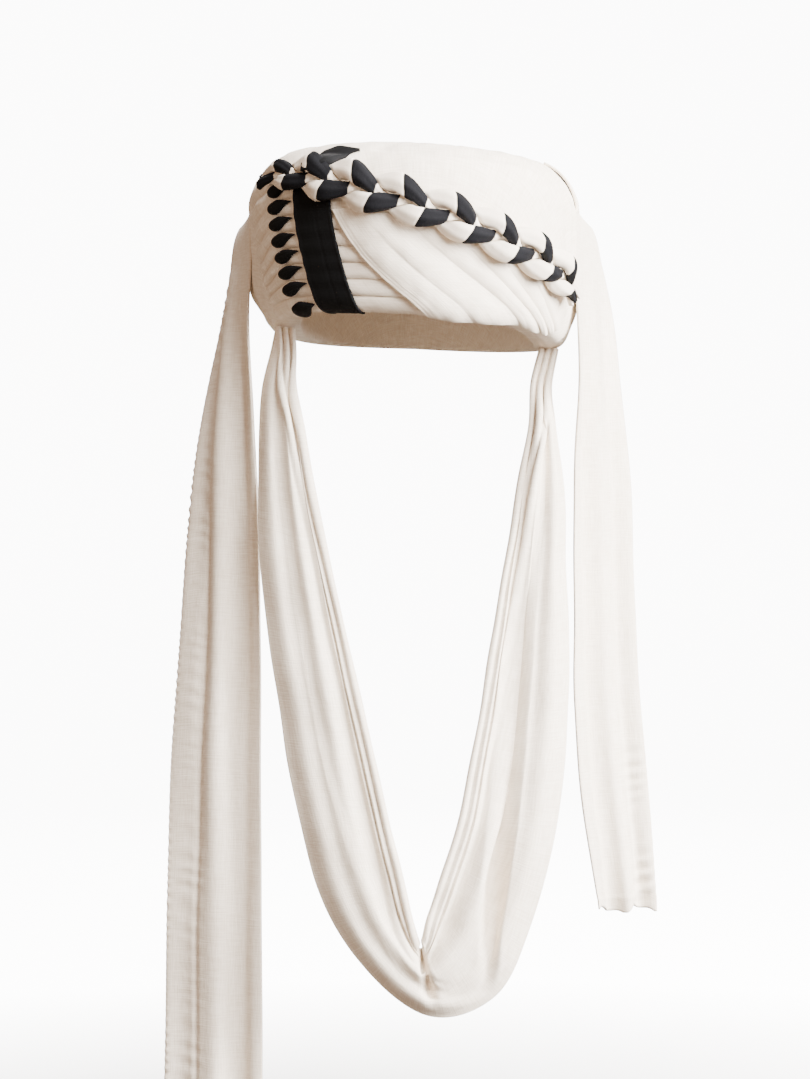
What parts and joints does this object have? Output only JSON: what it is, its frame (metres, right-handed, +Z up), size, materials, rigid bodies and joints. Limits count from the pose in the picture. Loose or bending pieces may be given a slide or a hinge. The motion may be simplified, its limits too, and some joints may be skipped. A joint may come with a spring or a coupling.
{
  "type": "turban",
  "caption": "Wound cotton turban with a pleated brow, a dark band and tips, a slantwise plait, loose hanging tails and a cloth loop that falls in a V on the chest.",
  "frame": {"origin": "the seat on the head: the middle of the rim, level with its lowest point at the brow", "axes": "+Z up along the head, -Y towards the wearer's front, +X towards the right of the picture"},
  "size_m": [0.3381, 0.2711, 0.6529],
  "materials": {
    "white_cotton": "warm white plain-weave cotton, matte",
    "black_cotton": "near-black plain-weave cotton, matte",
    "plait_cotton": "white cotton rolled with black cotton, matte"
  },
  "bodies": {
    "root": {"crown": "white_cotton", "pleated_wrap": "white_cotton", "black_band": "black_cotton", "black_corner": "black_cotton", "fold_tip_1": "black_cotton", "fold_tip_2": "black_cotton", "fold_tip_3": "black_cotton", "fold_tip_4": "black_cotton", "fold_tip_5": "black_cotton", "fold_tip_6": "black_cotton", "fold_tip_7": "black_cotton", "fold_tip_8": "black_cotton", "front_swath": "white_cotton", "braid_strand_1": "plait_cotton", "braid_strand_2": "plait_cotton", "braid_strand_3": "plait_cotton", "long_tail": "white_cotton", "short_tail": "white_cotton", "chest_loop": "white_cotton"}
  },
  "joints": []
}
